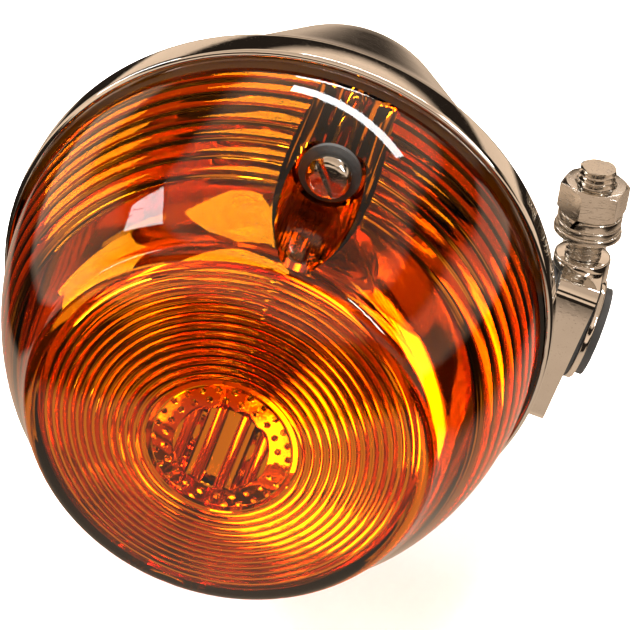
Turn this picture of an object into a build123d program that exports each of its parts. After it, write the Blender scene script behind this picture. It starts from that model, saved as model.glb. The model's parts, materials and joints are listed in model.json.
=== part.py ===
from build123d import *
import os
from math import atan, cos, degrees, radians, sin, sqrt

# Round bullet-shaped turn signal lamp. Its hollow side stem is gripped by a stirrup
# clamp whose upright stud bolts to the vehicle. Millimetres, +Z up the stud.
# The lamp faces -Y. Everything is drawn about the lamp axis first, with Y = 0 on the
# face where the lens meets the rim, and moved at export so that the origin is where
# the stud leaves its seat.

# ---- driving dimensions ----------------------------------------------------------
LENS_R = 43.0            # lens flange radius
LENS_DEPTH = 43.0        # flange face to the middle of the domed front
WALL = 2.6               # lens wall
RIM_R = 43.9             # outside of the rolled rim
RIM_DEPTH = 7.0
SHELL = 1.2              # housing sheet
CONE_SLOPE = 0.395       # radius lost per millimetre of depth
TAIL_R = 21.6            # ball radius of the closed tail
TAIL_Y = 55.0            # depth of the ball's centre

SCREW_TURN = 13.4        # lens screws, degrees clockwise from the top
SCREW_RING = 35.5        # radius of the two screw axes
HEAD_Y = -17.0           # underside of the screw heads
SCREW_HOLE_R = 2.25
POCKET_R = 5.6           # open recess over each screw head

STEM_TURN = 12.0         # the stem drops this many degrees towards the clamp
STEM_Y = 27.0
STEM_R = 7.8
STEM_BORE = 6.2
CLAMP_AT = 45.2          # lamp axis to the middle of the clamp, along the stem
STRAP_W = 6.6
STRAP_T = 1.9
STRAP_R = 10.9           # outside of the round lower half of the stirrup
STRAP_TOP = 12.4         # stem axis to the outside of its flat top
SLEEVE_R = 8.98

STUD_X = 46.3            # stud axis, seen from the lamp axis
SEAT_Z = 3.6             # top of the stud's round seat, above the lamp axis
STUD_R = 3.0
SEAT_R = 4.7
LEG_END = -12.2          # the strap's front leg runs down past the stem, to its rolled end
ROLL_R = 1.3
STUD_TOP = 16.3          # above the seat
GRIP = 4.2               # free stud between the seat and the washers
NUT_AF = 10.0
NUT_H = 5.2

BULB_R = 13.2
BASE_R = 7.5
PIN_Y = 43.8             # bayonet pins, behind the flange face
PUSH = 2.2               # travel of the bulb when it is pressed in
BASE_FRONT = 36.0
BASE_BACK = 48.8

DISH_R = 31.5            # mouth of the reflecting dish
DISH_Y = 1.4             # its flange lies behind the gasket
NECK_R = 14.2
DISH_FOCUS = 11.2
DISH_END = DISH_Y + (DISH_R ** 2 - NECK_R ** 2) / (4 * DISH_FOCUS)
CUP_Y = 33.0             # floor of the cup behind the dish
SHEET = 0.8
RIM_BORE = 40.2          # inside of the rim behind the lens seat

HOLDER_Y = CUP_Y + SHEET
HOLDER_END = 58.0
HOLDER_R = 8.45
HOLDER_BORE = 7.62
RIVET_RING = 11.6
CARRIER_Y = 50.6         # front face of the contact carrier, at rest

STEM_DIR = Vector(cos(radians(STEM_TURN)), 0, -sin(radians(STEM_TURN)))
STEM_UP = Vector(sin(radians(STEM_TURN)), 0, cos(radians(STEM_TURN)))
TO_FRAME = Location((-STUD_X, -STEM_Y, -SEAT_Z))


# ---- helpers ---------------------------------------------------------------------
def turned(*edges):
    """Solid of revolution about the lamp axis; outline points are (radius, depth)."""
    return revolve(Face(Wire(list(edges))), Axis.Y, 360)


def ring(r_in, r_out, y_from, y_to):
    """Plain ring or disc on the lamp axis."""
    outline = Polyline((r_in, y_from), (r_out, y_from), (r_out, y_to), (r_in, y_to), close=True)
    return revolve(Face(Wire(outline.edges())), Axis.Y, 360)


def along_y(radius, y_from, y_to, x=0.0, z=0.0):
    """Cylinder parallel to the lamp axis."""
    middle = Location((x, (y_from + y_to) / 2, z), (90, 0, 0))
    return middle * Cylinder(radius, abs(y_to - y_from))


def stem_frame(distance):
    """Place on the stem: its X runs across (along Y), its Y up, its Z out along the stem."""
    origin = Vector(0, STEM_Y, 0) + STEM_DIR * distance
    return Plane(origin=origin, x_dir=(0, 1, 0), z_dir=STEM_DIR)


def along_stem(face, start, end):
    """Prism on the stem axis between two distances from the lamp axis."""
    return extrude(stem_frame(start) * face, end - start, dir=tuple(STEM_DIR))


def upright(radius, z_from, z_to):
    """Cylinder on the stud axis; heights are above the seat."""
    middle = Location((STUD_X, STEM_Y, SEAT_Z + (z_from + z_to) / 2))
    return middle * Cylinder(radius, z_to - z_from)


def screw_centre(index):
    """X and Z of lens screw 0 or 1."""
    angle = radians(SCREW_TURN + 180 * index)
    return SCREW_RING * sin(angle), SCREW_RING * cos(angle)


def save(shape, name):
    export_step(TO_FRAME * shape, "parts/" + name + ".step")


# ---- lens ------------------------------------------------------------------------
def lens_skin(inset):
    """Outer form of the lens, or its inner form when inset is the wall."""
    brow_r = 28.5 - 0.5 * inset
    side_start = (LENS_R - 0.8 - inset, 0)
    side_end = (36.6 - 0.9 * inset, -24.5 + 0.3 * inset)
    shoulder = (30.9 - 0.8 * inset, -35.0 + 0.5 * inset)
    brow = (brow_r, -37.8 + inset)
    crown = (0, -LENS_DEPTH + inset)
    rise = LENS_DEPTH - 37.8
    dome_r = (brow_r ** 2 + rise ** 2) / (2 * rise)
    mid_y = crown[1] + dome_r - sqrt(dome_r ** 2 - (brow_r / 2) ** 2)
    side = ThreePointArc(side_start, (40.6 - inset, -13.0), side_end)
    flank = Line(side_end, shoulder)
    corner = ThreePointArc(shoulder, (30.1 - 0.7 * inset, -36.8 + 0.75 * inset), brow)
    face = ThreePointArc(brow, (brow_r / 2, mid_y), crown)
    return turned(side, flank, corner, face, Line(crown, (0, 0)), Line((0, 0), side_start))


def make_lens():
    cup = lens_skin(0) + ring(0, LENS_R, -2.4, 0)
    hollow = lens_skin(WALL)
    for index in range(2):
        x, z = screw_centre(index)
        hollow -= along_y(POCKET_R + 1.8, -LENS_DEPTH, 0, x, z)
    lens = cup - hollow
    for index in range(2):
        x, z = screw_centre(index)
        lens -= along_y(POCKET_R, -LENS_DEPTH - 5, HEAD_Y, x, z)
        lens -= along_y(SCREW_HOLE_R, HEAD_Y - 1, 1, x, z)
    return lens


def make_lens_screws():
    screws = []
    for index in range(2):
        x, z = screw_centre(index)
        head = along_y(4.0, HEAD_Y - 3.5, HEAD_Y - 0.8, x, z)
        head = fillet(head.edges().group_by(Axis.Y)[0], 1.1)
        head -= Location((x, HEAD_Y - 3.4, z)) * Box(1.1, 2.2, 9)
        screws.append(head + along_y(1.95, HEAD_Y - 0.8, 10.5, x, z))
    return Compound(screws)


def make_screw_washers():
    washers = []
    for index in range(2):
        x, z = screw_centre(index)
        washers.append(along_y(4.6, HEAD_Y - 0.8, HEAD_Y, x, z) - along_y(2.05, -30, 30, x, z))
    return Compound(washers)


def make_screw_tabs():
    """Threaded tabs inside the rim that the lens screws pull on."""
    front = DISH_Y + SHEET + 0.05
    tabs = []
    for index in range(2):
        x, z = screw_centre(index)
        boss = along_y(3.0, front, front + 5.0, x, z)
        foot = Location((0, front + 0.75, SCREW_RING + 2.6)) * Box(8.0, 1.5, 5.4)
        foot = Location((0, 0, 0), (0, SCREW_TURN + 180 * index, 0)) * foot
        block = (boss + foot) & ring(0, RIM_BORE - 0.02, 2, 12)
        tabs.append(block - along_y(2.0, -30, 30, x, z))
    return Compound(tabs)


def make_gasket():
    gasket = ring(37.6, LENS_R - 0.6, 0, 1.4)
    for index in range(2):
        x, z = screw_centre(index)
        gasket += along_y(4.6, 0, 1.4, x, z)
    for index in range(2):
        x, z = screw_centre(index)
        gasket -= along_y(SCREW_HOLE_R, -5, 5, x, z)
    return gasket


# ---- housing ---------------------------------------------------------------------
def shell_form(inset):
    """Closed bullet form behind the rim: cone and ball tail, grown inwards by inset."""
    tilt = atan(CONE_SLOPE)
    ball = TAIL_R - inset
    join_r = ball * cos(tilt)
    join_y = TAIL_Y + ball * sin(tilt)
    start_y = RIM_DEPTH - 1.2
    start_r = join_r + (join_y - start_y) * CONE_SLOPE
    tail_mid = radians(90 - degrees(tilt)) / 2 + tilt
    cone = Line((start_r, start_y), (join_r, join_y))
    tail = ThreePointArc(
        (join_r, join_y),
        (ball * cos(tail_mid), TAIL_Y + ball * sin(tail_mid)),
        (0, TAIL_Y + ball),
    )
    axis = Line((0, TAIL_Y + ball), (0, start_y))
    return turned(cone, tail, axis, Line((0, start_y), (start_r, start_y)))


def make_housing():
    rim = ring(0, RIM_R, -0.6, RIM_DEPTH)
    rim = fillet(rim.edges().group_by(Axis.Y)[0], 1.1)
    rim = fillet(rim.edges().group_by(Axis.Y)[-1], 2.2)
    housing = rim + shell_form(0)
    housing -= shell_form(SHELL)
    housing -= ring(0, LENS_R + 0.15, -2, 1.45)
    housing -= ring(0, RIM_BORE, 0, RIM_DEPTH - 0.5)
    hole = along_stem(Circle(STEM_R - 1.0), 22, 52)
    drain = Location((0, 12, -38)) * Cylinder(1.6, 14)
    return housing - hole - drain


# ---- side stem -------------------------------------------------------------------
def stem_cut(start, end, radius, bore):
    """Round tube on the stem axis between two distances from the lamp axis."""
    return along_stem(Circle(radius), start, end) - along_stem(Circle(bore), start - 1, end + 1)


def make_stem():
    """Tube with a saucer foot that hugs the cone and a threaded spigot inside it."""
    tube = stem_cut(28, CLAMP_AT + 5.4, STEM_R, STEM_BORE)
    foot = stem_cut(28, 38.2, STEM_R + 2.4, STEM_BORE)
    tube = (tube + foot) - shell_form(-0.05)
    spigot = stem_cut(25.0, 36.0, STEM_R - 1.1, STEM_BORE)
    collar = stem_cut(CLAMP_AT + 4.2, CLAMP_AT + 5.4, STEM_R + 1.0, STEM_BORE)
    return tube + spigot + collar


def make_stem_nut():
    """Thin lock nut inside the housing on the stem's spigot."""
    nut = along_stem(RegularPolygon(10.6, 6), 25.6, 28.4)
    return nut - along_stem(Circle(STEM_R - 1.08), 20, 50)


def make_wire_bush():
    bush = stem_cut(CLAMP_AT - 1.0, CLAMP_AT + 5.4, STEM_BORE, 2.6)
    flange = stem_cut(CLAMP_AT + 5.4, CLAMP_AT + 6.8, STEM_R - 0.2, 2.6)
    return bush + flange


# ---- clamp -----------------------------------------------------------------------
def stirrup_outline(inset):
    """Flat-topped loop: square shoulders above, round below."""
    r = STRAP_R - inset
    height = STRAP_TOP - inset
    corner = 2.4 - inset
    near = corner * (1 - sqrt(0.5))
    left = Line((-r, 0), (-r, height - corner))
    arc_a = ThreePointArc((-r, height - corner), (-r + near, height - near), (-r + corner, height))
    top = Line((-r + corner, height), (r - corner, height))
    arc_b = ThreePointArc((r - corner, height), (r - near, height - near), (r, height - corner))
    right = Line((r, height - corner), (r, 0))
    base = ThreePointArc((r, 0), (0, -r), (-r, 0))
    return Face(Wire([left, arc_a, top, arc_b, right, base]))


def make_stirrup():
    near = CLAMP_AT - STRAP_W / 2
    far = CLAMP_AT + STRAP_W / 2
    loop = along_stem(stirrup_outline(0), near, far)
    loop -= along_stem(stirrup_outline(STRAP_T), near - 1, far + 1)
    seat = upright(SEAT_R, -4.6, 0) - along_stem(stirrup_outline(STRAP_T), near - 9, far + 9)
    front, behind = -STRAP_R, -STRAP_R + STRAP_T - 0.1
    sides = [(front, 1.0), (behind, 1.0), (behind, LEG_END), (front, LEG_END)]
    leg = along_stem(Face(Polyline(*sides, close=True)), near, far)
    leg += along_stem(Pos(front + ROLL_R, LEG_END) * Circle(ROLL_R), near, far)
    return (loop + seat + leg) - upright(STUD_R + 0.02, -20, 5)


def make_sleeve():
    """Rubber liner between the stem and the stirrup."""
    return stem_cut(CLAMP_AT - 4.0, CLAMP_AT + 4.1, SLEEVE_R, STEM_R + 0.05)


def make_saddle():
    """Curved pad that the stud presses on the liner."""
    pad = stem_cut(CLAMP_AT - 3.2, CLAMP_AT + 3.2, SLEEVE_R + 1.2, SLEEVE_R + 0.02)
    return pad & (stem_frame(CLAMP_AT) * Pos(0, SLEEVE_R, 0) * Box(11.0, 6.0, 12))


def make_stud():
    stud = upright(STUD_R, -5.0, STUD_TOP)
    stud -= along_stem(Circle(SLEEVE_R + 1.22), CLAMP_AT - 10, CLAMP_AT + 10)
    return chamfer(stud.edges().group_by(Axis.Z)[-1], 0.6)


def make_flat_washers():
    lower = upright(5.6, GRIP, GRIP + 1.2) - upright(STUD_R + 0.15, 0, 20)
    upper = upright(5.3, GRIP + 1.2, GRIP + 2.4) - upright(STUD_R + 0.15, 0, 20)
    return Compound([lower, upper])


def make_lock_washer():
    base = GRIP + 2.4
    washer = upright(5.3, base, base + 1.6) - upright(STUD_R + 0.15, 0, 20)
    split = Location((STUD_X, STEM_Y - 4.2, SEAT_Z + base + 0.8), (0, 30, 0)) * Box(0.7, 4.4, 4)
    return washer - split.rotate(Axis((STUD_X, STEM_Y, 0), (0, 0, 1)), -25)


def make_nut():
    base = SEAT_Z + GRIP + 4.0
    corner_r = NUT_AF / 2 / cos(radians(30))
    blank = Location((STUD_X, STEM_Y, base)) * extrude(RegularPolygon(corner_r, 6, rotation=12), NUT_H)
    cone_low = Location((STUD_X, STEM_Y, base + NUT_H / 2)) * Cone(corner_r + 1.9, corner_r - 0.75, NUT_H)
    return (blank & cone_low) - upright(STUD_R + 0.05, 0, 30)


# ---- reflector and bulb holder ---------------------------------------------------
def dish_radius(y):
    """Parabola of the reflecting face."""
    return sqrt(DISH_R ** 2 - 4 * DISH_FOCUS * (y - DISH_Y))


def make_reflector():
    mid = (DISH_Y + DISH_END) / 2
    inner = Spline((DISH_R, DISH_Y), (dish_radius(mid), mid), (NECK_R, DISH_END))
    brim = (DISH_R + 0.9, DISH_Y + SHEET)
    outer = Spline((NECK_R + SHEET, DISH_END + 0.3), (dish_radius(mid) + 1.0, mid + 0.5), brim)
    edges = [
        inner,
        Line((NECK_R, DISH_END), (NECK_R, CUP_Y)),
        Line((NECK_R, CUP_Y), (BASE_R + 1.6, CUP_Y)),
        Line((BASE_R + 1.6, CUP_Y), (BASE_R + 1.6, CUP_Y + SHEET)),
        Line((BASE_R + 1.6, CUP_Y + SHEET), (NECK_R + SHEET, CUP_Y + SHEET)),
        Line((NECK_R + SHEET, CUP_Y + SHEET), (NECK_R + SHEET, DISH_END + 0.3)),
        outer,
        Line(brim, (39.6, DISH_Y + SHEET)),
        Line((39.6, DISH_Y + SHEET), (39.6, DISH_Y)),
        Line((39.6, DISH_Y), (DISH_R, DISH_Y)),
    ]
    reflector = turned(*edges)
    for index in range(2):
        x, z = screw_centre(index)
        reflector -= along_y(2.4, 0, 8, x, z)
    return reflector


def make_holder():
    """Socket tube with a flange; two J slots catch the bulb's pins."""
    holder = ring(HOLDER_BORE, HOLDER_R, HOLDER_Y, HOLDER_END)
    holder += ring(HOLDER_BORE, 13.4, HOLDER_Y, HOLDER_Y + 1.0)
    for side in (1, -1):
        entry = Location((side * 3.6, (HOLDER_Y + PIN_Y + PUSH) / 2 + 0.8, 7.6 * side))
        holder -= entry * Box(2.5, PIN_Y + PUSH - HOLDER_Y + 2.0, 3.4)
        foot = Location((side * 1.4, PIN_Y + PUSH + 0.5, 8.0 * side))
        holder -= foot * Box(6.9, 2.6, 3.0)
        hook = Location((0, PIN_Y + PUSH / 2, 8.0 * side))
        holder -= hook * Box(2.4, PUSH + 2.4, 3.0)
    return holder


def rivet_centre(index):
    """X and Z of rivet 0, 1 or 2."""
    angle = radians(30 + 120 * index)
    return RIVET_RING * sin(angle), RIVET_RING * cos(angle)


def make_holder_rivets():
    rivets = []
    for index in range(3):
        x, z = rivet_centre(index)
        body = along_y(1.2, CUP_Y - 0.6, HOLDER_Y + 1.6, x, z)
        front_head = along_y(1.9, CUP_Y - 0.7, CUP_Y, x, z)
        back_head = along_y(1.9, HOLDER_Y + 1.0, HOLDER_Y + 1.7, x, z)
        rivets.append(body + front_head + back_head)
    return Compound(rivets)


def pierce_for_rivets(shape):
    for index in range(3):
        x, z = rivet_centre(index)
        shape -= along_y(1.2, CUP_Y - 3, HOLDER_Y + 3, x, z)
    return shape


def make_end_cap():
    """Moulded disc that closes the socket and carries the spring."""
    plug = ring(0, HOLDER_BORE - 0.02, HOLDER_END - 2.4, HOLDER_END)
    lid = ring(0, HOLDER_R, HOLDER_END, HOLDER_END + 1.4)
    return plug + lid - along_y(1.9, 0, 90)


def make_feed_terminal():
    """Blade terminal riveted through the end cap."""
    shank = along_y(1.85, HOLDER_END - 2.4, HOLDER_END + 1.4)
    plate = Location((0, HOLDER_END + 1.8, 0)) * Box(6.3, 0.8, 6.3)
    blade = Location((0, HOLDER_END + 5.2, 2.75)) * Box(6.3, 6.0, 0.8)
    return shank + plate + blade


def make_earth_terminal():
    """Tab under one rivet of the socket flange, for the return wire."""
    x, z = rivet_centre(1)
    ear = along_y(2.6, HOLDER_Y + 1.75, HOLDER_Y + 2.45, x, z)
    blade = Location((x, HOLDER_Y + 6.0, z - 2.3)) * Box(4.8, 8.5, 0.8)
    root = Location((x, HOLDER_Y + 2.1, z - 1.5)) * Box(4.8, 0.7, 2.4)
    return ear + root + blade


def make_carrier():
    """Insulating plunger that the spring holds against the bulb."""
    plunger = ring(0, HOLDER_BORE - 0.12, CARRIER_Y, CARRIER_Y + 1.6)
    return plunger - along_y(1.6, 0, 90)


def make_centre_contact():
    return along_y(2.3, CARRIER_Y - 0.5, CARRIER_Y) + along_y(1.58, CARRIER_Y, CARRIER_Y + 1.6)


def make_contact_spring():
    """Coil of round wire between the end cap and the carrier."""
    start = CARRIER_Y + 1.62
    end = HOLDER_END - 2.42
    wire = 0.3
    turns = 2.5
    helix = Helix(pitch=(end - start - 2 * wire) / turns, height=end - start - 2 * wire, radius=5.2,
                  center=(0, 0, 0), direction=(0, 1, 0))
    path = Location((0, start + wire, 0)) * helix
    section = Plane(origin=path @ 0, z_dir=path % 0) * Circle(wire)
    return sweep(section, path=path, is_frenet=True)


# ---- bulb ------------------------------------------------------------------------
def make_bulb_glass():
    neck_r = 6.9
    neck_y = BASE_FRONT + 2.0
    ball_y = 11.2
    wall = 0.5

    def form(inset):
        ball_r = BULB_R - inset
        waist_r = 11.2 - inset
        waist = (waist_r, ball_y + sqrt(ball_r ** 2 - waist_r ** 2))
        top = (0, ball_y - ball_r)
        ball = ThreePointArc(top, (ball_r, ball_y), waist)
        flank = ThreePointArc(waist, (8.9 - inset, 23.4), (neck_r - inset, 29.0))
        neck = Line((neck_r - inset, 29.0), (neck_r - inset, neck_y))
        end = Line((neck_r - inset, neck_y), (0, neck_y))
        return turned(ball, flank, neck, end, Line((0, neck_y), top))

    return form(0) - form(wall)


def make_bulb_base():
    """Brass cap with its rolled front edge; open to the front, floor at the back."""
    cap = ring(0, BASE_R, BASE_FRONT, BASE_BACK)
    cap = fillet(cap.edges().group_by(Axis.Y)[-1], 1.2)
    cap -= ring(0, 6.95, BASE_FRONT - 1, BASE_BACK - 1.0)
    return cap - along_y(3.8, 40, 60)


def make_bulb_pins():
    pins = []
    for side in (1, -1):
        pins.append(Location((0, PIN_Y, side * 8.1)) * Cylinder(1.0, 1.7))
    bore = along_y(BASE_R + 0.01, 30, 60)
    return Compound([pin - bore for pin in pins])


def make_bulb_insulator():
    """Dark glass bead around the end contact."""
    return ring(2.2, 3.78, BASE_BACK - 1.0, BASE_BACK + 0.5)


def make_bulb_contact():
    tip = ring(0, 2.18, BASE_BACK - 1.0, CARRIER_Y - 0.52)
    return fillet(tip.edges().group_by(Axis.Y)[-1], 0.5)


def make_glass_mount():
    """Pressed glass stem inside the bulb that holds the filament posts."""
    return ring(0, 2.6, 24.0, BASE_FRONT + 1.9) + ring(0, 6.35, BASE_FRONT + 0.9, BASE_FRONT + 1.9)


def make_filament_posts():
    posts = []
    for side in (1, -1):
        foot = Location((2.0 * side, 23.7, 0)) * Box(3.0, 0.6, 0.6)
        posts.append(along_y(0.3, 11.4, 24.0, 3.2 * side, 0) + foot)
    return Compound(posts)


def make_filament():
    """Coiled wire between the posts, drawn as its outer form."""
    return Location((0, 12.0, 0), (0, 90, 0)) * Cylinder(0.75, 5.7)


# ---- export ----------------------------------------------------------------------
save(make_lens(), "lens")
save(make_lens_screws(), "lens_screws")
save(make_screw_washers(), "screw_washers")
save(make_screw_tabs(), "screw_tabs")
save(make_gasket(), "lens_gasket")
save(make_housing(), "housing")
save(make_stem(), "side_stem")
save(make_stem_nut(), "stem_lock_nut")
save(make_wire_bush(), "wire_bush")
save(make_stirrup(), "clamp_stirrup")
save(make_sleeve(), "clamp_liner")
save(make_saddle(), "clamp_saddle")
save(make_stud(), "clamp_stud")
save(make_flat_washers(), "flat_washers")
save(make_lock_washer(), "lock_washer")
save(make_nut(), "stud_nut")
save(pierce_for_rivets(make_reflector()), "reflector")
save(pierce_for_rivets(make_holder()), "bulb_holder")
save(make_holder_rivets(), "holder_rivets")
save(make_end_cap(), "holder_end_cap")
save(make_feed_terminal(), "feed_terminal")
save(make_earth_terminal(), "earth_terminal")
save(make_carrier(), "contact_carrier")
save(make_centre_contact(), "centre_contact")
save(make_contact_spring(), "contact_spring")
save(make_bulb_glass(), "bulb_glass")
save(make_bulb_base(), "bulb_base")
save(make_bulb_pins(), "bulb_pins")
save(make_bulb_insulator(), "bulb_insulator")
save(make_bulb_contact(), "bulb_contact")
save(make_glass_mount(), "glass_mount")
save(make_filament_posts(), "filament_posts")
save(make_filament(), "filament")
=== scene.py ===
import json
from math import atan2, ceil, cos, pi, radians, sin, sqrt

import bpy
from mathutils import Matrix, Vector


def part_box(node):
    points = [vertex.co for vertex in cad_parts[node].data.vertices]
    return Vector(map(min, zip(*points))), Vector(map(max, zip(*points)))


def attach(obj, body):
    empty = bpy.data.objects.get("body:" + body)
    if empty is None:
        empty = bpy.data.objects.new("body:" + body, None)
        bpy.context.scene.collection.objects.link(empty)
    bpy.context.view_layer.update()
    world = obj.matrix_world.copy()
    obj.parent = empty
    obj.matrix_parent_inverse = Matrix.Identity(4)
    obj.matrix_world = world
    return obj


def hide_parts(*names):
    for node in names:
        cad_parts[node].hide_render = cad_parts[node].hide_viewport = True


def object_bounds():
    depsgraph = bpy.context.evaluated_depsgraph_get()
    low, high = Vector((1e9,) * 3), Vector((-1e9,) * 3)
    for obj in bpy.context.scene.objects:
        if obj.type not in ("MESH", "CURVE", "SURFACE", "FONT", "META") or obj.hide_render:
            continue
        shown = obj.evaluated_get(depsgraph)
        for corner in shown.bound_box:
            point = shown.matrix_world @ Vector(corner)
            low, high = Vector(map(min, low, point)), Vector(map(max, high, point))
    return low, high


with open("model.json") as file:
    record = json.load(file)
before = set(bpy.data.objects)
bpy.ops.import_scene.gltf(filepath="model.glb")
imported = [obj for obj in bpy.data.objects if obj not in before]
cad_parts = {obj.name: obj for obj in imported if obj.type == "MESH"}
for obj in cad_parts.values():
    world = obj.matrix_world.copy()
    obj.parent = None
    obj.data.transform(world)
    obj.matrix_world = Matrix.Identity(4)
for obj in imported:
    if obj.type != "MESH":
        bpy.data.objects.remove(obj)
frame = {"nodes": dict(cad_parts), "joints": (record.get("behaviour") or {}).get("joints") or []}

# Looks of a round turn signal lamp: deep amber lens, chrome bullet housing, side stem
# and stirrup clamp. Outlines are in millimetres; the finished meshes are in metres.

cad_low, cad_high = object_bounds()
MM = 0.001


# ---- places taken from the frame -------------------------------------------------
def joint(name):
    """Row of one joint."""
    return next(j for j in frame["joints"] if j["name"] == name)


lens_low, lens_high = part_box("lens")
FLANGE = Vector(((lens_low.x + lens_high.x) / 2, lens_high.y, (lens_low.z + lens_high.z) / 2))
LENS_R = (lens_high.x - lens_low.x) / 2 / MM
LENS_DEPTH = (lens_high.y - lens_low.y) / MM
STEM_DIR = Vector(joint("stem_tilt")["axis"]).normalized()
CLAMP = Vector(joint("stem_tilt")["pos_m"])
CLAMP_AT = (CLAMP - Vector((FLANGE.x, CLAMP.y, FLANGE.z))).length / MM
STUD_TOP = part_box("clamp_stud")[1].z / MM
NUT_LOW, NUT_HIGH = (corner.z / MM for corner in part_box("stud_nut"))
WASHER_LOW, WASHER_HIGH = (corner.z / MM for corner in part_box("flat_washers"))

# Lamp frame: X right, Y up, Z forward out of the lens, zero on the flange face.
LAMP = Matrix.Translation(FLANGE) @ Matrix.Rotation(radians(90), 4, "X")
# Stem frame: Z out along the stem, Y up, zero on the lamp axis.
STEM_ACROSS = Vector((0, 1, 0))
STEM_UP = STEM_DIR.cross(STEM_ACROSS)
STEM = Matrix.Translation(CLAMP - STEM_DIR * CLAMP_AT * MM) @ Matrix(
    (STEM_ACROSS, STEM_UP, STEM_DIR)).transposed().to_4x4()
UPRIGHT = Matrix.Identity(4)

# ---- sizes, in millimetres --------------------------------------------------------
WALL = 2.6
SCREW_TURN = 13.4
SCREW_RING = 35.5
HEAD_Z = 17.0
POCKET_R = 5.6
RIM_R = 43.9
RIM_DEPTH = 7.0
SHELL = 1.2
CONE_SLOPE = 0.395
TAIL_R = 21.6
TAIL_Z = -55.0
STEM_R = 7.8
STEM_BORE = 6.2
STRAP_W = 6.6
STRAP_T = 1.9
STRAP_R = 10.9
STRAP_TOP = 12.4
LEG_END = -12.2
ROLL_R = 1.3
STUD_R = 3.0
THREAD_PITCH = 1.0
NUT_AF = 10.0
SEAT_R = 4.7
SEAT_LOW = -4.6
FREE = 0.15                # gap round a piece that sits in another
EYE_R = 11.2
DISC_R = 7.2
RING_EDGE = 27.6
RINGS = 13
RING_RISE = 0.5
FLUTES = 7
FLUTE_RISE = 0.42
BOSS_WALL = 1.1
FLAP = 0.02                # overlap that keeps two joined solids from only touching


# ---- outlines ---------------------------------------------------------------------
def arc(a, middle, b, steps):
    """Points on the circle through three points, from a to b, without a."""
    ax, ay, bx, by, cx, cy = *a, *middle, *b
    d = 2 * (ax * (by - cy) + bx * (cy - ay) + cx * (ay - by))
    sa, sb, sc = ax * ax + ay * ay, bx * bx + by * by, cx * cx + cy * cy
    ux = (sa * (by - cy) + sb * (cy - ay) + sc * (ay - by)) / d
    uy = (sa * (cx - bx) + sb * (ax - cx) + sc * (bx - ax)) / d
    radius = sqrt((ax - ux) ** 2 + (ay - uy) ** 2)
    first = atan2(ay - uy, ax - ux)
    turns = [(atan2(y - uy, x - ux) - first) % (2 * pi) for x, y in (middle, b)]
    sweep = turns[1] if turns[0] < turns[1] else turns[1] - 2 * pi
    angles = [first + sweep * step / steps for step in range(1, steps + 1)]
    return [(ux + radius * cos(angle), uy + radius * sin(angle)) for angle in angles]


def ripple(a, b, count, height, steps):
    """Row of rounded ridges from a to b, standing to the left of that line, without a."""
    run = Vector((b[0] - a[0], b[1] - a[1]))
    left = Vector((-run.y, run.x)).normalized()
    points = []
    for index in range(count * steps):
        share = (index + 1) / steps
        rise = height * sin(pi * (share % 1)) if (index + 1) % steps else 0.0
        spot = Vector(a) + run * (share / count) + left * rise
        points.append((spot.x, spot.y))
    return points


def rounded(points, steps=4):
    """Outline with its corners turned into arcs; a point's third number is its radius."""
    out = []
    for index, point in enumerate(points):
        here = Vector(point[:2])
        if len(point) == 2:
            out.append(tuple(here))
            continue
        before = (Vector(points[index - 1][:2]) - here).normalized()
        after = (Vector(points[(index + 1) % len(points)][:2]) - here).normalized()
        half = before.angle(after) / 2
        back = point[2] * cos(half) / sin(half)
        centre = here + (before + after).normalized() * (point[2] / sin(half))
        first, last = here + before * back, here + after * back
        middle = centre + (here - centre).normalized() * point[2]
        out.append(tuple(first))
        out += arc(tuple(first), tuple(middle), tuple(last), steps)
    return out


# ---- modelling --------------------------------------------------------------------
def seed(name):
    """New piece that is one point, open for editing."""
    bpy.ops.object.select_all(action="DESELECT")
    bpy.ops.mesh.primitive_plane_add(size=MM)
    piece = bpy.context.object
    piece.name = name
    piece.data.name = name
    bpy.ops.object.mode_set(mode="EDIT")
    bpy.ops.mesh.merge(type="CENTER")
    return piece


def draw(points, closed):
    """Runs the open point along an outline in the XZ plane."""
    here = Vector((0, 0, 0))
    for index, (radius, height) in enumerate(points + (points[:1] if closed else [])):
        spot = Vector((radius, 0, height)) * MM
        if index:
            bpy.ops.mesh.extrude_vertices_move(TRANSFORM_OT_translate={"value": spot - here})
        else:
            bpy.ops.transform.translate(value=spot)
        here = spot


def clean():
    """Closes the seam and turns every face outwards."""
    bpy.ops.mesh.select_all(action="SELECT")
    bpy.ops.mesh.remove_doubles(threshold=MM * 0.002)
    bpy.ops.mesh.normals_make_consistent(inside=False)


def settle(piece, place, angle=32):
    """Puts a piece in place, with its place in its mesh, and smooths its gentle edges."""
    bpy.ops.object.mode_set(mode="OBJECT")
    piece.matrix_world = place
    bpy.ops.object.select_all(action="DESELECT")
    piece.select_set(True)
    bpy.context.view_layer.objects.active = piece
    bpy.ops.object.transform_apply(location=True, rotation=True, scale=True)
    bpy.ops.object.shade_smooth_by_angle(angle=radians(angle))
    return piece


def turned(name, outline, place, steps=96, closed=False, angle=32):
    """Piece turned about its own Z. An open outline starts and ends on the axis."""
    piece = seed(name)
    draw(outline, closed)
    bpy.ops.mesh.select_all(action="SELECT")
    bpy.ops.mesh.spin(steps=steps, angle=2 * pi, center=(0, 0, 0), axis=(0, 0, 1))
    clean()
    return settle(piece, place, angle)


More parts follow.
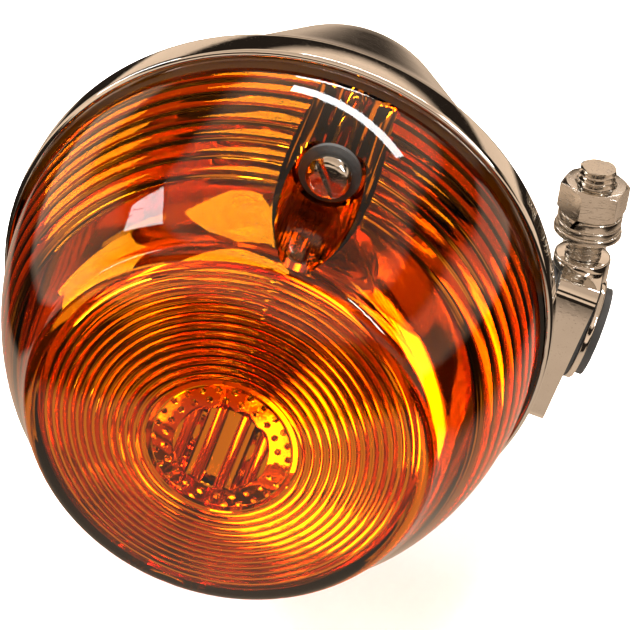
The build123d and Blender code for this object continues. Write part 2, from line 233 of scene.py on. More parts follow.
def slab(name, outline, low, high, place):
    """Flat outline in XY, pulled up from low to high."""
    piece = seed(name)
    here = Vector((0, 0, 0))
    for index, (x, y) in enumerate(outline):
        spot = Vector((x, y, low)) * MM
        if index:
            bpy.ops.mesh.extrude_vertices_move(TRANSFORM_OT_translate={"value": spot - here})
        else:
            bpy.ops.transform.translate(value=spot)
        here = spot
    bpy.ops.mesh.select_all(action="SELECT")
    bpy.ops.mesh.edge_face_add()
    lift = {"value": (0, 0, (high - low) * MM)}
    bpy.ops.mesh.extrude_region_move(TRANSFORM_OT_translate=lift)
    clean()
    return settle(piece, place)


def rod(name, radius, low, high, place, x=0.0, y=0.0, steps=48):
    """Plain round bar along Z, used to cut or to add."""
    outline = [(0, low), (radius, low), (radius, high), (0, high)]
    return turned(name, outline, place @ Matrix.Translation(Vector((x, y, 0)) * MM), steps)


def combine(piece, tool, operation, angle=32):
    """Joins, cuts or keeps the overlap of a piece and a tool, and uses the tool up."""
    bpy.ops.object.select_all(action="DESELECT")
    bpy.context.view_layer.objects.active = piece
    piece.select_set(True)
    modifier = piece.modifiers.new("shape", "BOOLEAN")
    modifier.operation = operation
    modifier.solver = "MANIFOLD"
    modifier.object = tool
    bpy.ops.object.modifier_apply(modifier=modifier.name)
    bpy.data.objects.remove(tool)
    bpy.ops.object.shade_smooth_by_angle(angle=radians(angle))
    return piece


def bevelled(piece, width, segments=2, angle=40):
    """Breaks the sharp edges of a piece."""
    bpy.ops.object.select_all(action="DESELECT")
    bpy.context.view_layer.objects.active = piece
    piece.select_set(True)
    modifier = piece.modifiers.new("edges", "BEVEL")
    modifier.width = width * MM
    modifier.segments = segments
    modifier.limit_method = "ANGLE"
    modifier.angle_limit = radians(angle)
    bpy.ops.object.modifier_apply(modifier=modifier.name)
    bpy.ops.object.shade_smooth_by_angle(angle=radians(32))
    return piece


def joined(name, pieces):
    """Several meshes as one piece."""
    bpy.ops.object.select_all(action="DESELECT")
    for piece in pieces:
        piece.select_set(True)
    bpy.context.view_layer.objects.active = pieces[0]
    bpy.ops.object.join()
    pieces[0].name = name
    return pieces[0]


def threaded(name, radius, low, high, place):
    """Rod with a real helical thread, cut square at both ends."""
    root = radius - 0.61 * THREAD_PITCH
    turns = ceil((high - low) / THREAD_PITCH) + 2
    base = low - THREAD_PITCH
    flat = THREAD_PITCH / 8
    piece = seed(name)
    draw([(root, base), (radius, base + THREAD_PITCH / 2 - flat / 2),
          (radius, base + THREAD_PITCH / 2 + flat / 2), (root, base + THREAD_PITCH)], False)
    bpy.ops.object.mode_set(mode="OBJECT")
    helix = piece.modifiers.new("thread", "SCREW")
    helix.axis = "Z"
    helix.screw_offset = THREAD_PITCH * MM
    helix.iterations = turns
    helix.steps = helix.render_steps = 40
    helix.use_merge_vertices = True
    helix.merge_threshold = MM * 0.005
    bpy.ops.object.modifier_apply(modifier=helix.name)
    bpy.ops.object.mode_set(mode="EDIT")
    bpy.ops.mesh.select_all(action="SELECT")
    bpy.ops.mesh.remove_doubles(threshold=MM * 0.005)
    for height, above in ((high, True), (low, False)):
        bpy.ops.mesh.select_all(action="SELECT")
        bpy.ops.mesh.bisect(plane_co=(0, 0, height * MM), plane_no=(0, 0, 1), use_fill=True,
                            clear_outer=above, clear_inner=not above)
    clean()
    return settle(piece, place, 20)


# ---- finishes ---------------------------------------------------------------------
class Term:
    """A number that varies over a surface, so that shader sums read as plain sums."""

    def __init__(self, graph, socket):
        self.graph = graph
        self.socket = socket

    def __add__(self, other):
        return self.graph.node("ShaderNodeMath", {"operation": "ADD"}, {0: self, 1: other})

    def __sub__(self, other):
        return self.graph.node("ShaderNodeMath", {"operation": "SUBTRACT"}, {0: self, 1: other})

    def __rsub__(self, other):
        return self.graph.node("ShaderNodeMath", {"operation": "SUBTRACT"}, {0: other, 1: self})

    def __mul__(self, other):
        return self.graph.node("ShaderNodeMath", {"operation": "MULTIPLY"}, {0: self, 1: other})

    __radd__ = __add__
    __rmul__ = __mul__


class Graph:
    """The nodes of one material or of the room."""

    def __init__(self, tree, space):
        self.tree = tree
        self.where = self.node("ShaderNodeTexCoord", output=space)

    def node(self, kind, settings=None, inputs=None, output=0):
        """Any node: its settings first, then the values or links of its sockets."""
        made = self.tree.nodes.new(kind)
        for key, value in (settings or {}).items():
            if key == "stops":
                stops = made.color_ramp.elements
                while len(stops) < len(value):
                    stops.new(0.5)
                for index, (position, level) in enumerate(value):
                    stops[index].position = position
                    stops[index].color = (level, level, level, 1.0)
            else:
                setattr(made, key, value)
        for key, value in (inputs or {}).items():
            if isinstance(value, Term):
                self.tree.links.new(value.socket, made.inputs[key])
            else:
                made.inputs[key].default_value = value
        return Term(self, made.outputs[output])

    def noise(self, scale, detail=3.0, stretch=(1, 1, 1)):
        """Cloudy pattern from 0 to 1; stretch draws it out along an axis."""
        spot = self.node("ShaderNodeMapping", inputs={"Vector": self.where, "Scale": stretch})
        return self.node("ShaderNodeTexNoise", inputs={"Vector": spot, "Scale": scale, "Detail": detail})

    def ramp(self, value, *stops):
        """Value turned into a level, between stops of (value, level)."""
        return self.node("ShaderNodeValToRGB", {"stops": stops}, {"Fac": value})

    def blend(self, mask, first, second):
        """Colour that goes from first to second with the mask."""
        sockets = {0: mask}
        for index, colour in ((6, first), (7, second)):
            sockets[index] = colour if isinstance(colour, Term) else (*colour, 1.0)
        return self.node("ShaderNodeMix", {"data_type": "RGBA"}, sockets, output=2)


class Finish(Graph):
    """One procedural material on object coordinates."""

    def __init__(self, name, colour, roughness, **fixed):
        self.material = bpy.data.materials.new(name)
        self.material.use_nodes = True
        super().__init__(self.material.node_tree, "Object")
        self.shader = self.tree.nodes["Principled BSDF"]
        self.set("Base Color", (*colour, 1.0))
        self.set("Roughness", roughness)
        for key, value in fixed.items():
            self.set(key.replace("_", " ").title().replace("Ior", "IOR"), value)

    def set(self, socket, value):
        """Gives a socket of the shader a constant or a link."""
        if isinstance(value, Term):
            self.tree.links.new(value.socket, self.shader.inputs[socket])
        else:
            self.shader.inputs[socket].default_value = value

    def bump(self, height, strength, distance):
        """Fine relief, in millimetres."""
        inputs = {"Height": height, "Strength": strength, "Distance": distance * MM}
        self.set("Normal", self.node("ShaderNodeBump", inputs=inputs))


def metal(name, colour, dull, roughness, spread, relief, grain=(1, 1, 1)):
    """Plated or bare metal: cloudy tarnish, hair scratches and small pits."""
    made = Finish(name, colour, roughness, metallic=1.0)
    cloud = made.ramp(made.noise(90.0), (0.35, 0.0), (0.7, 1.0))
    scratch = made.ramp(made.noise(700.0, 2.0, grain), (0.55, 0.0), (0.75, 1.0))
    pits = made.ramp(made.noise(2600.0, 1.0), (0.66, 0.0), (0.74, 1.0))
    made.set("Base Color", made.blend(cloud * 0.6 + pits * 0.4, colour, dull))
    made.set("Roughness", roughness + cloud * spread + scratch * spread * 0.7)
    made.bump(scratch + pits * 0.6, 0.25, relief)
    return made.material


def plastic(name, colour, second, roughness, relief, scale):
    """Moulded rubber or board: mottled colour and a fine grain."""
    made = Finish(name, colour, roughness, specular_ior_level=0.4)
    mottle = made.noise(scale, 4.0)
    fine = made.noise(scale * 9, 2.0)
    made.set("Base Color", made.blend(mottle, colour, second))
    made.set("Roughness", roughness + (mottle - 0.5) * 0.25)
    made.bump(fine + mottle * 0.5, 0.4, relief)
    return made.material


def moulded_amber():
    """Clear dyed acrylic: a deep amber with faint flow streaks, glossy and lightly worn."""
    pale, deep = (0.97, 0.31, 0.006), (0.90, 0.22, 0.003)
    made = Finish("amber_acrylic", pale, 0.02, ior=1.49, transmission_weight=1.0)
    flow = made.noise(60.0, 3.0, (1, 0.3, 1))
    worn = made.ramp(made.noise(1400.0, 2.0), (0.6, 0.0), (0.8, 1.0))
    made.set("Base Color", made.blend(flow, pale, deep))
    made.set("Roughness", 0.015 + worn * 0.05)
    made.bump(flow + worn * 0.3, 0.12, 0.05)
    return made.material


def clear_glass(name, tint, roughness):
    """Blown or pressed glass with faint ripples."""
    made = Finish(name, tint, roughness, ior=1.5, transmission_weight=1.0)
    ripples = made.noise(220.0, 2.0)
    made.set("Roughness", roughness + ripples * 0.03)
    made.bump(ripples, 0.1, 0.05)
    return made.material


def glossy_bead():
    """Dark fused glass around a contact."""
    made = Finish("vitreous_bead", (0.015, 0.012, 0.02), 0.12, ior=1.5)
    mottle = made.noise(500.0)
    made.set("Roughness", 0.08 + mottle * 0.12)
    made.bump(mottle, 0.2, 0.05)
    return made.material


AMBER = moulded_amber()
CHROME = metal("bright_chrome", (0.86, 0.84, 0.81), (0.72, 0.69, 0.64), 0.03, 0.05, 0.01)
PLATED = metal("nickel_plate", (0.78, 0.75, 0.70), (0.50, 0.45, 0.38), 0.12, 0.18, 0.03, (1, 1, 6))
ZINC = metal("zinc_plate", (0.66, 0.66, 0.60), (0.46, 0.45, 0.40), 0.28, 0.2, 0.04)
MIRROR = metal("silvered_dish", (0.93, 0.92, 0.90), (0.85, 0.83, 0.78), 0.05, 0.05, 0.01)
BRASS = metal("drawn_brass", (0.80, 0.58, 0.26), (0.52, 0.34, 0.14), 0.2, 0.2, 0.03, (1, 6, 1))
SOLDER = metal("soft_solder", (0.62, 0.62, 0.61), (0.42, 0.42, 0.42), 0.35, 0.2, 0.08)
TUNGSTEN = metal("drawn_tungsten", (0.30, 0.30, 0.32), (0.18, 0.18, 0.2), 0.35, 0.15, 0.02)
SPRING = metal("spring_steel", (0.52, 0.51, 0.50), (0.32, 0.31, 0.30), 0.25, 0.2, 0.02)
RUBBER = plastic("black_rubber", (0.018, 0.018, 0.018), (0.05, 0.048, 0.045), 0.55, 0.05, 180.0)
BOARD = plastic("brown_board", (0.16, 0.07, 0.03), (0.24, 0.12, 0.05), 0.45, 0.05, 260.0)
GLASS = clear_glass("bulb_glass_clear", (0.97, 0.98, 0.98), 0.0)
BEAD = glossy_bead()


# ---- lens -------------------------------------------------------------------------
BROW_DROP = 5.2
BROW = (28.5, LENS_DEPTH - BROW_DROP)
CROWN = (0.0, LENS_DEPTH)
DOME_R = (BROW[0] ** 2 + BROW_DROP ** 2) / (2 * BROW_DROP)


def dome(radius):
    """Height of the lens's front face."""
    return LENS_DEPTH - DOME_R + sqrt(DOME_R ** 2 - radius ** 2)


def lens_outside():
    """Half outline of the smooth outer skin, from the crown to the flange face."""
    middle = (BROW[0] / 2, dome(BROW[0] / 2))
    points = [CROWN] + arc(CROWN, middle, BROW, 20)
    points += arc(BROW, (30.1, 36.8), (30.9, 35.0), 8)
    points += [(32.8, 31.5), (34.7, 28.0), (36.6, 24.5)]
    points += arc((36.6, 24.5), (40.6, 13.0), (41.95, 3.2), 18)
    points += [(42.1, 2.6), (LENS_R - 0.25, 2.4), (LENS_R, 2.1)]
    return points + [(LENS_R, 0.25), (LENS_R - 0.25, 0.0)]


def lens_inside():
    """Half outline of the hollow, from the flange face to the crown, with its optics."""
    side = [(LENS_R - 3.4, 0.0)]
    foot, top = (LENS_R - 3.5, 1.4), (34.25, 24.0)
    bow = arc(foot, (38.1, 13.0), top, FLUTES)
    start = foot
    side.append(foot)
    for end in bow:
        side += ripple(start, end, 1, FLUTE_RISE, 7)
        start = end
    side += [(33.5, 26.0), (31.9, 29.0), (30.2, 32.2), (29.2, 33.6)]
    side += arc((29.2, 33.6), (28.5, 34.5), (27.9, dome(27.9) - WALL), 4)
    pitch = (RING_EDGE - EYE_R) / RINGS
    for index in range(RINGS):
        outer = RING_EDGE - index * pitch
        inner = outer - pitch
        a, b = (outer, dome(outer) - WALL), (inner, dome(inner) - WALL)
        side += ripple(a, b, 1, RING_RISE, 6)
    rim = dome(EYE_R) - WALL
    side += [(EYE_R - 0.25, rim - RING_RISE), (EYE_R - 0.9, rim - RING_RISE), (EYE_R - 1.2, rim + 0.1)]
    return side + [(DISC_R, dome(DISC_R) - WALL), (3.0, dome(3.0) - WALL), (0.0, LENS_DEPTH - WALL)]


def eye_ribs():
    """Half-round bars that cross the middle of the lens, in line with the screws."""
    columns, pitch, width, tall = 48, 3.6, 16, 1.3
    bpy.ops.object.select_all(action="DESELECT")
    bpy.ops.mesh.primitive_grid_add(x_subdivisions=columns, y_subdivisions=4, size=width * MM)
    ribs = bpy.context.object
    ribs.name = "eye_ribs"
    for index in range(columns + 1):
        x = (index / columns - 0.5) * width
        bpy.ops.object.mode_set(mode="EDIT")
        bpy.ops.mesh.select_all(action="DESELECT")
        bpy.ops.object.mode_set(mode="OBJECT")
        for vertex in ribs.data.vertices:
            vertex.select = abs(vertex.co.x - x * MM) < 0.01 * MM
        bpy.ops.object.mode_set(mode="EDIT")
        bpy.ops.transform.translate(value=(0, 0, -tall * abs(sin(pi * x / pitch)) * MM))
    bpy.ops.mesh.select_all(action="SELECT")
    bpy.ops.mesh.extrude_region_move(TRANSFORM_OT_translate={"value": (0, 0, 1.9 * MM)})
    bpy.ops.mesh.select_all(action="SELECT")
    bpy.ops.mesh.normals_make_consistent(inside=False)
    place = LAMP @ Matrix.Translation((0, 0, (LENS_DEPTH - WALL - 0.25) * MM))
    settle(ribs, place @ Matrix.Rotation(-radians(SCREW_TURN), 4, "Z"))
    edge = rod("eye_edge", DISC_R - 0.3, LENS_DEPTH - 8, LENS_DEPTH, LAMP, steps=64)
    return combine(ribs, edge, "INTERSECT")


def eye_studs():
    """Two rings of small facets round the ribs."""
    studs = []
    for radius, count, shift in ((8.2, 22, 0.0), (9.7, 26, 0.5)):
        for index in range(count):
            angle = 2 * pi * (index + shift) / count
            spot = Vector((radius * sin(angle), radius * cos(angle), dome(radius) - WALL))
            bpy.ops.object.select_all(action="DESELECT")
            bpy.ops.mesh.primitive_ico_sphere_add(subdivisions=1, radius=0.62 * MM)
            stud = bpy.context.object
            settle(stud, LAMP @ Matrix.Translation(spot * MM) @ Matrix.Rotation(angle, 4, "Z"), 10)
            studs.append(stud)
    return joined("eye_studs", studs)


def screw_spot(index):
    """Centre of a lens screw, across the lamp."""
    angle = radians(SCREW_TURN + 180 * index)
    return SCREW_RING * sin(angle), SCREW_RING * cos(angle)


def make_lens():
    """Amber cup: fluted wall, ringed front, ribbed eye and two screw pockets."""
    lens = turned("lens_moulding", lens_outside() + lens_inside(), LAMP, 144)
    under = 0.12
    skin = [(r - under if r else 0, z - under) for r, z in lens_outside()]
    form = turned("lens_form", skin + [(0, -under)], LAMP, 144)
    bosses = []
    for index in range(2):
        x, y = screw_spot(index)
        bosses.append(rod("boss", POCKET_R + BOSS_WALL, FLAP, LENS_DEPTH, LAMP, x, y))
    combine(form, joined("bosses", bosses), "INTERSECT")
    combine(lens, form, "UNION")
    pockets = []
    for index in range(2):
        x, y = screw_spot(index)
        bore = [(0, -1), (2.25, -1), (2.25, HEAD_Z), (POCKET_R - 0.5, HEAD_Z)]
        bore += [(POCKET_R, HEAD_Z + 0.5), (POCKET_R, LENS_DEPTH + 4), (0, LENS_DEPTH + 4)]
        spot = LAMP @ Matrix.Translation(Vector((x, y, 0)) * MM)
        pockets.append(turned("pocket", bore, spot, 64))
    combine(lens, joined("pockets", pockets), "DIFFERENCE")
    combine(lens, eye_ribs(), "UNION")
    combine(lens, eye_studs(), "UNION")
    return lens


def make_lens_screws():
    """Pan-head screws with a driver slot and a plain round shank."""
    screws = []
    under = HEAD_Z + 0.82
    for index in range(2):
        x, y = screw_spot(index)
        place = LAMP @ Matrix.Translation(Vector((x, y, 0)) * MM)
        head = rounded([(0, under), (3.4, under, 0.2), (3.4, under + 2.1, 1.3), (0, under + 2.5)])
        screw = turned("screw", head, place, 64)
        cutter = [(-0.6, -5), (0.6, -5), (0.6, 5), (-0.6, 5)]
        slot_place = place @ Matrix.Rotation(radians(28 + 40 * index), 4, "Z")
        combine(screw, slab("slot", cutter, under + 1.4, under + 4, slot_place), "DIFFERENCE")
        shank = [(0, -10.4), (1.45, -10.4), (1.9, -9.8), (1.9, under + 0.3), (0, under + 0.3)]
        combine(screw, turned("shank", shank, place, 32), "UNION")
        screws.append(screw)
    return joined("pan_head_screws", screws)


# ---- housing and reflector --------------------------------------------------------
def shell_points(inset, steps):
    """Cone and ball tail of the housing, from the rim to the tail's pole."""
    tilt = atan2(CONE_SLOPE, 1)
    ball = TAIL_R - inset
    join = (ball * cos(tilt), TAIL_Z - ball * sin(tilt))
    start_z = -RIM_DEPTH + 0.4
    start = (join[0] + (start_z - join[1]) * CONE_SLOPE, start_z)
    middle = (tilt + pi / 2) / 2
    points = [start]
    for step in range(1, 7):
        points.append(tuple(Vector(start).lerp(Vector(join), step / 6)))
    elbow = (ball * cos(middle), TAIL_Z - ball * sin(middle))
    return points + arc(join, elbow, (0, TAIL_Z - ball), steps)


def make_housing():
    """Spun bullet shell with a rolled rim, pierced for the stem and the drain."""
    outer = shell_points(0, 24)
    foot = outer[0]
    lens_seat, rim_bore, rim_top, ledge = LENS_R + FREE, 40.2, 0.6, -1.45
    rim = rounded([(lens_seat, rim_top), (RIM_R, rim_top, 0.8), (RIM_R, -RIM_DEPTH, 2.0),
                   (foot[0] + 0.5, -RIM_DEPTH, 0.35)], 8)
    inner = shell_points(SHELL, 24)
    floor = -RIM_DEPTH + 0.9
    lip = [(inner[0][0], floor), (rim_bore, floor), (rim_bore, ledge), (lens_seat, ledge)]
    outline = list(reversed(inner)) + lip + rim + outer[1:]
    shell = turned("bullet_shell", outline, LAMP, 160)
    combine(shell, rod("stem_hole", STEM_R - 1.0, 20, 52, STEM), "DIFFERENCE")
    drop = LAMP @ Matrix.Translation((0, 0, -12 * MM)) @ Matrix.Rotation(radians(90), 4, "X")
    combine(shell, rod("drain", 1.6, 30, 46, drop, steps=32), "DIFFERENCE")
    return shell


def make_reflector():
    """Spun dish with its brim, neck and the floor that the bulb holder sits on."""
    mouth, focal, brim, neck, floor = 31.5, 11.2, 39.6, 14.2, 9.1
    deep = (mouth ** 2 - neck ** 2) / (4 * focal)
    front, back, sheet = -1.4, -33.0, 0.7

    def bowl(out):
        steps, lean = 24, 0.6
        points = []
        for step in range(steps + 1):
            level = deep * step / steps
            points.append((sqrt(mouth ** 2 - 4 * focal * level) + out, front - level - out * lean))
        return points

    outline = [(brim, front)] + bowl(0) + [(neck, back), (floor, back), (floor, back - sheet)]
    outline += [(neck + sheet, back - sheet)] + bowl(sheet)[::-1] + [(brim, front - sheet)]
    dish = turned("spun_dish", outline, LAMP, 128, closed=True)
    for index in range(2):
        x, y = screw_spot(index)
        combine(dish, rod("screw_way", 2.4, -8, 2, LAMP, x, y, 32), "DIFFERENCE")
    return dish


def make_filament():
    """Coil of fine wire across the bulb, between its two posts."""
    coil, wire, half, pitch = 0.62, 0.1, 2.7, 0.36
    piece = seed("coiled_filament")
    ring = [(coil + wire * cos(radians(45 * k)), -half + wire * sin(radians(45 * k))) for k in range(8)]
    draw(ring, True)
    bpy.ops.object.mode_set(mode="OBJECT")
    helix = piece.modifiers.new("coil", "SCREW")
    helix.axis = "Z"
    helix.screw_offset = pitch * MM
    helix.iterations = int(2 * half / pitch)
    helix.steps = helix.render_steps = 24
    bpy.ops.object.modifier_apply(modifier=helix.name)
    bpy.ops.object.mode_set(mode="EDIT")
    clean()
    bpy.ops.mesh.select_all(action="SELECT")
    bpy.ops.mesh.fill_holes(sides=0)
    bpy.ops.mesh.normals_make_consistent(inside=False)
    bulb_middle = Matrix.Translation((0, 0, -12 * MM)) @ Matrix.Rotation(radians(90), 4, "Y")
    return settle(piece, LAMP @ bulb_middle)


# ---- stem and clamp ---------------------------------------------------------------
def make_stem():
    """Chrome tube with a saucer foot on the cone and a rolled outer end."""
    end = CLAMP_AT + 5.4
    outside = rounded([
        (STEM_BORE, 25.0), (STEM_R - 1.1, 25.0, 0.3), (STEM_R - 1.1, 30.5), (STEM_R + 2.4, 30.5),
        (STEM_R + 2.4, 38.2, 1.0), (STEM_R, 38.2, 0.6), (STEM_R, end - 1.2, 0.2),
        (STEM_R + 1.0, end - 1.2, 0.35), (STEM_R + 1.0, end, 0.4), (STEM_BORE, end, 0.2)])
    stem = turned("stem_tube", outside, STEM, 96, closed=True)
    blank = shell_points(-0.05, 24)
    form = turned("shell_form", [(0, blank[0][1])] + blank, LAMP, 160)
    spigot = rod("spigot_form", STEM_R - 1.05, 20, 33, STEM)
    combine(form, spigot, "DIFFERENCE")
    return combine(stem, form, "DIFFERENCE")


def make_stirrup():
    """Flat strap bent round the stem, with the round seat of the stud welded on."""
    corner = 2.4

    def loop(inset):
        r, top, bend = STRAP_R - inset, STRAP_TOP - inset, corner - inset
        near = bend * (1 - sqrt(0.5))
        points = [(-r, 0.0), (-r, top - bend)]
        points += arc((-r, top - bend), (-r + near, top - near), (-r + bend, top), 6)
        points += [(0.0, top), (r - bend, top)]
        points += arc((r - bend, top), (r - near, top - near), (r, top - bend), 6)
        points += [(r, 0.0)]
        return points + arc((r, 0.0), (0.0, -r), (-r, 0.0), 40)[:-1]

    near, far = CLAMP_AT - STRAP_W / 2, CLAMP_AT + STRAP_W / 2
    strap = slab("stirrup_strap", loop(0), near, far, STEM)
    seat = rounded([(0, SEAT_LOW), (SEAT_R, SEAT_LOW), (SEAT_R, 0, 0.4), (0, 0)])
    combine(strap, turned("seat", seat, UPRIGHT, 64), "UNION")
    front, behind = -STRAP_R, -STRAP_R + STRAP_T - 0.1
    leg = [(front, 1), (behind, 1), (behind, LEG_END), (front + FLAP, LEG_END)]
    turn = [radians(12 * step) for step in range(30)]
    roll = [(front + ROLL_R + ROLL_R * cos(angle), LEG_END + ROLL_R * sin(angle)) for angle in turn]
    combine(strap, slab("front_leg", leg, near + FLAP / 2, far - FLAP / 2, STEM), "UNION")
    combine(strap, slab("rolled_end", roll, near + FLAP, far - FLAP, STEM), "UNION")
    combine(strap, slab("inside", loop(STRAP_T), near - 6, far + 6, STEM), "DIFFERENCE")
    combine(strap, rod("stud_hole", STUD_R + FLAP, -12, 3, UPRIGHT, steps=64), "DIFFERENCE")
    return bevelled(strap, 0.28)


def make_stud():
    """M6 stud: threaded above its seat, with a chamfered end."""
    stud = threaded("threaded_stud", STUD_R, -4.0, STUD_TOP, UPRIGHT)
    low, high, around, chamfer = -4.4, STUD_TOP + FLAP, STUD_R + 0.1, 0.75
    outline = [(0, low), (around, low), (around, STUD_TOP - chamfer)]
    outline += [(STUD_R - chamfer, high), (0, high)]
    return combine(stud, turned("tip", outline, UPRIGHT, 64), "INTERSECT", 20)


def make_nut():
    """Hexagon nut, chamfered on both faces, with a countersunk bore."""
    corner_r = NUT_AF / 2 / cos(radians(30))
    turn = [radians(60 * corner + 12) for corner in range(6)]
    hexagon = [(corner_r * cos(angle), corner_r * sin(angle)) for angle in turn]
    nut = slab("hex_nut", hexagon, NUT_LOW, NUT_HIGH, UPRIGHT)
    shoulder, around = NUT_AF / 2 - 0.15, corner_r + 0.3
    drop = (around - shoulder) * 0.6
    form = [(0, NUT_LOW), (shoulder, NUT_LOW), (around, NUT_LOW + drop),
            (around, NUT_HIGH - drop), (shoulder, NUT_HIGH), (0, NUT_HIGH)]
    combine(nut, turned("nut_form", form, UPRIGHT, 96), "INTERSECT")
    bore = [(0, NUT_LOW - 1), (STUD_R + 1.2, NUT_LOW - 1), (STUD_R + 0.05, NUT_LOW + 0.3),
            (STUD_R + 0.05, NUT_HIGH - 0.4), (STUD_R + 1.4, NUT_HIGH + 1), (0, NUT_HIGH + 1)]
    combine(nut, turned("nut_bore", bore, UPRIGHT, 64), "DIFFERENCE")
    return bevelled(nut, 0.1, 2, 28)


def make_flat_washers():
    """Two plain washers, the wider one below."""
    middle = WASHER_LOW + (WASHER_HIGH - WASHER_LOW) / 2
    washers = []
    for low, high, radius in ((WASHER_LOW, middle, 5.6), (middle, WASHER_HIGH, 5.3)):
        section = rounded([(STUD_R + FREE, low, 0.1), (radius, low, 0.25),
                           (radius, high, 0.3), (STUD_R + FREE, high, 0.1)])
        washers.append(turned("washer", section, UPRIGHT, 72, closed=True))
    return joined("plain_washers", washers)


def make_lock_washer():
    """Split spring ring."""
    low, high = WASHER_HIGH, NUT_LOW
    bore, edge = STUD_R + FREE, 5.3
    section = rounded([(bore, low, 0.15), (edge, low, 0.2), (edge, high, 0.2), (bore, high, 0.15)])
    washer = turned("split_washer", section, UPRIGHT, 72, closed=True)
    gap = Matrix.Rotation(radians(-25), 4, "Z") @ Matrix.Translation((0, 0, (low + high) / 2 * MM))
    gap = gap @ Matrix.Rotation(radians(30), 4, "Y")
    cutter = [(-0.35, -7), (0.35, -7), (0.35, -1), (-0.35, -1)]
    return combine(washer, slab("split", cutter, -3, 3, gap), "DIFFERENCE")


def stands_for(piece, nodes, body, finish):
    """Hides the CAD nodes that a new piece replaces, hangs it on the body it rides on and gives it its
    finish.
    """
    piece.data.materials.clear()
    piece.data.materials.append(finish)
    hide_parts(*nodes)
    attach(piece, body)


stands_for(make_lens(), ["lens"], "lamp", AMBER)
stands_for(make_lens_screws(), ["lens_screws"], "lamp", PLATED)
stands_for(make_housing(), ["housing"], "lamp", CHROME)
stands_for(make_reflector(), ["reflector"], "lamp", MIRROR)
stands_for(make_filament(), ["filament"], "bulb", TUNGSTEN)
stands_for(make_stem(), ["side_stem"], "lamp", CHROME)
stands_for(make_stirrup(), ["clamp_stirrup"], "clamp", CHROME)
stands_for(make_stud(), ["clamp_stud"], "clamp", PLATED)
stands_for(make_nut(), ["stud_nut"], "nut", PLATED)
stands_for(make_flat_washers(), ["flat_washers"], "washers", PLATED)
stands_for(make_lock_washer(), ["lock_washer"], "washers", PLATED)

# ---- CAD nodes that stay ----------------------------------------------------------
KEPT = {
    "bulb_glass": GLASS, "glass_mount": GLASS, "bulb_base": BRASS, "bulb_pins": BRASS,
    "bulb_insulator": BEAD, "bulb_contact": SOLDER, "filament_posts": ZINC,
    "bulb_holder": ZINC, "holder_rivets": BRASS, "holder_end_cap": BOARD, "feed_terminal": BRASS,
    "earth_terminal": BRASS, "contact_carrier": BOARD, "centre_contact": BRASS, "contact_spring": SPRING,
    "screw_tabs": ZINC, "screw_washers": RUBBER, "lens_gasket": RUBBER, "stem_lock_nut": ZINC,
    "wire_bush": RUBBER, "clamp_liner": RUBBER, "clamp_saddle": ZINC,
}
for name, finish in KEPT.items():
    slots = frame["nodes"][name].data.materials
    slots.clear()
    slots.append(finish)


# ---- studio -----------------------------------------------------------------------
def make_floor():
    """Large flat pale sheet."""
    bpy.ops.object.select_all(action="DESELECT")
    low = cad_low.z - 0.004
    bpy.ops.mesh.primitive_grid_add(x_subdivisions=8, y_subdivisions=8, size=6.0, location=(0, 0, low))
    floor = bpy.context.object
    floor.name = "studio_floor"
    paper = Finish("white_paper", (0.93, 0.925, 0.91), 0.6,
                   emission_color=(1, 0.99, 0.97, 1), emission_strength=0.25)
    tooth = paper.noise(300.0, 3.0)
    paper.set("Roughness", 0.55 + tooth * 0.1)
    paper.bump(tooth, 0.1, 0.1)
    floor.data.materials.append(paper.material)
    floor.visible_glossy = False
    floor.visible_transmission = False


def softbox(name, width, depth, power, spot, mirrored=True):
    """Rectangular light aimed at the lamp; one that isn't mirrored leaves no highlight."""
    light = bpy.data.lights.new(name, "AREA")
    light.shape = "RECTANGLE"
    light.size = width
    light.size_y = depth
    light.energy = power
    lamp = bpy.data.objects.new(name, light)
    bpy.context.scene.collection.objects.link(lamp)
    lamp.location = spot
    lamp.visible_glossy = mirrored
    aim = Vector((cad_low.x / 2, 0, 0)) - Vector(spot)
    lamp.rotation_euler = aim.to_track_quat("-Z", "Y").to_euler()


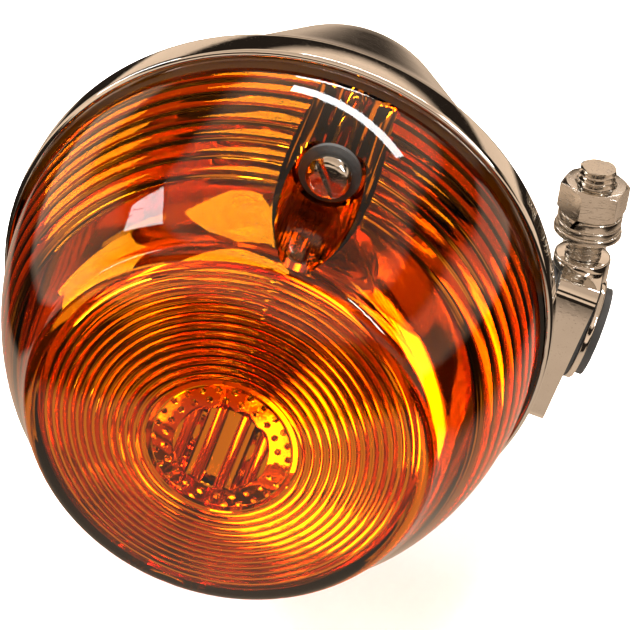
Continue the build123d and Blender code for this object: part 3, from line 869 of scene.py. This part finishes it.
def make_world():
    """Dark warm room with paler tan bands, for the plating to mirror; white behind the lamp."""
    world = bpy.data.worlds.new("room")
    world.use_nodes = True
    room = Graph(world.node_tree, "Generated")
    height = room.node("ShaderNodeSeparateXYZ", inputs={0: room.where}, output="Z")
    level = height * 0.5 + 0.5 + (room.noise(1.1, 0.0) - 0.5) * 0.35
    cards = room.ramp(level, (0.0, 0.75), (0.24, 0.6), (0.28, 0.01), (0.47, 0.01), (0.50, 1.0),
                      (0.64, 0.85), (0.67, 0.01), (0.78, 0.01), (0.82, 1.0), (0.93, 0.6))
    tan = room.blend(cards, (0.010, 0.007, 0.005), (0.95, 0.70, 0.50))
    seen = room.node("ShaderNodeLightPath", output="Is Camera Ray")
    colour = room.blend(seen, tan, (0.95, 0.945, 0.93))
    room.tree.links.new(colour.socket, room.tree.nodes["Background"].inputs["Color"])
    bpy.context.scene.world = world


def make_camera():
    """Long lens, above the front of the lamp and rolled a little."""
    azimuth, elevation, roll = 6.32, 31.93, 6.97
    camera = bpy.data.cameras.new("camera")
    camera.lens = 140.5
    camera.sensor_width = 36.0
    camera.clip_start = 0.01
    holder = bpy.data.objects.new("camera", camera)
    bpy.context.scene.collection.objects.link(holder)
    holder.location = FLANGE + Vector((42.74, -326.18, 203.94)) * MM
    turn = Matrix.Rotation(radians(azimuth), 4, "Z") @ Matrix.Rotation(radians(90 - elevation), 4, "X")
    holder.rotation_euler = (turn @ Matrix.Rotation(radians(roll), 4, "Z")).to_euler()
    bpy.context.scene.camera = holder


make_floor()
make_world()
make_camera()
softbox("overhead", 0.6, 0.4, 22.0, (-0.20, -0.10, 0.72), False)
softbox("left", 0.45, 0.5, 20.0, (-0.75, -0.20, 0.20), False)
softbox("back", 0.5, 0.2, 5.0, (-0.05, 0.75, 0.25), False)
softbox("left_strip", 0.05, 0.35, 0.6, (-0.65, 0.05, 0.40))
softbox("right_strip", 0.06, 0.30, 1.8, (0.50, -0.40, 0.42))
softbox("top_strip", 0.5, 0.05, 1.2, (0.10, 0.50, 0.55))
bpy.context.scene.view_settings.view_transform = "Standard"
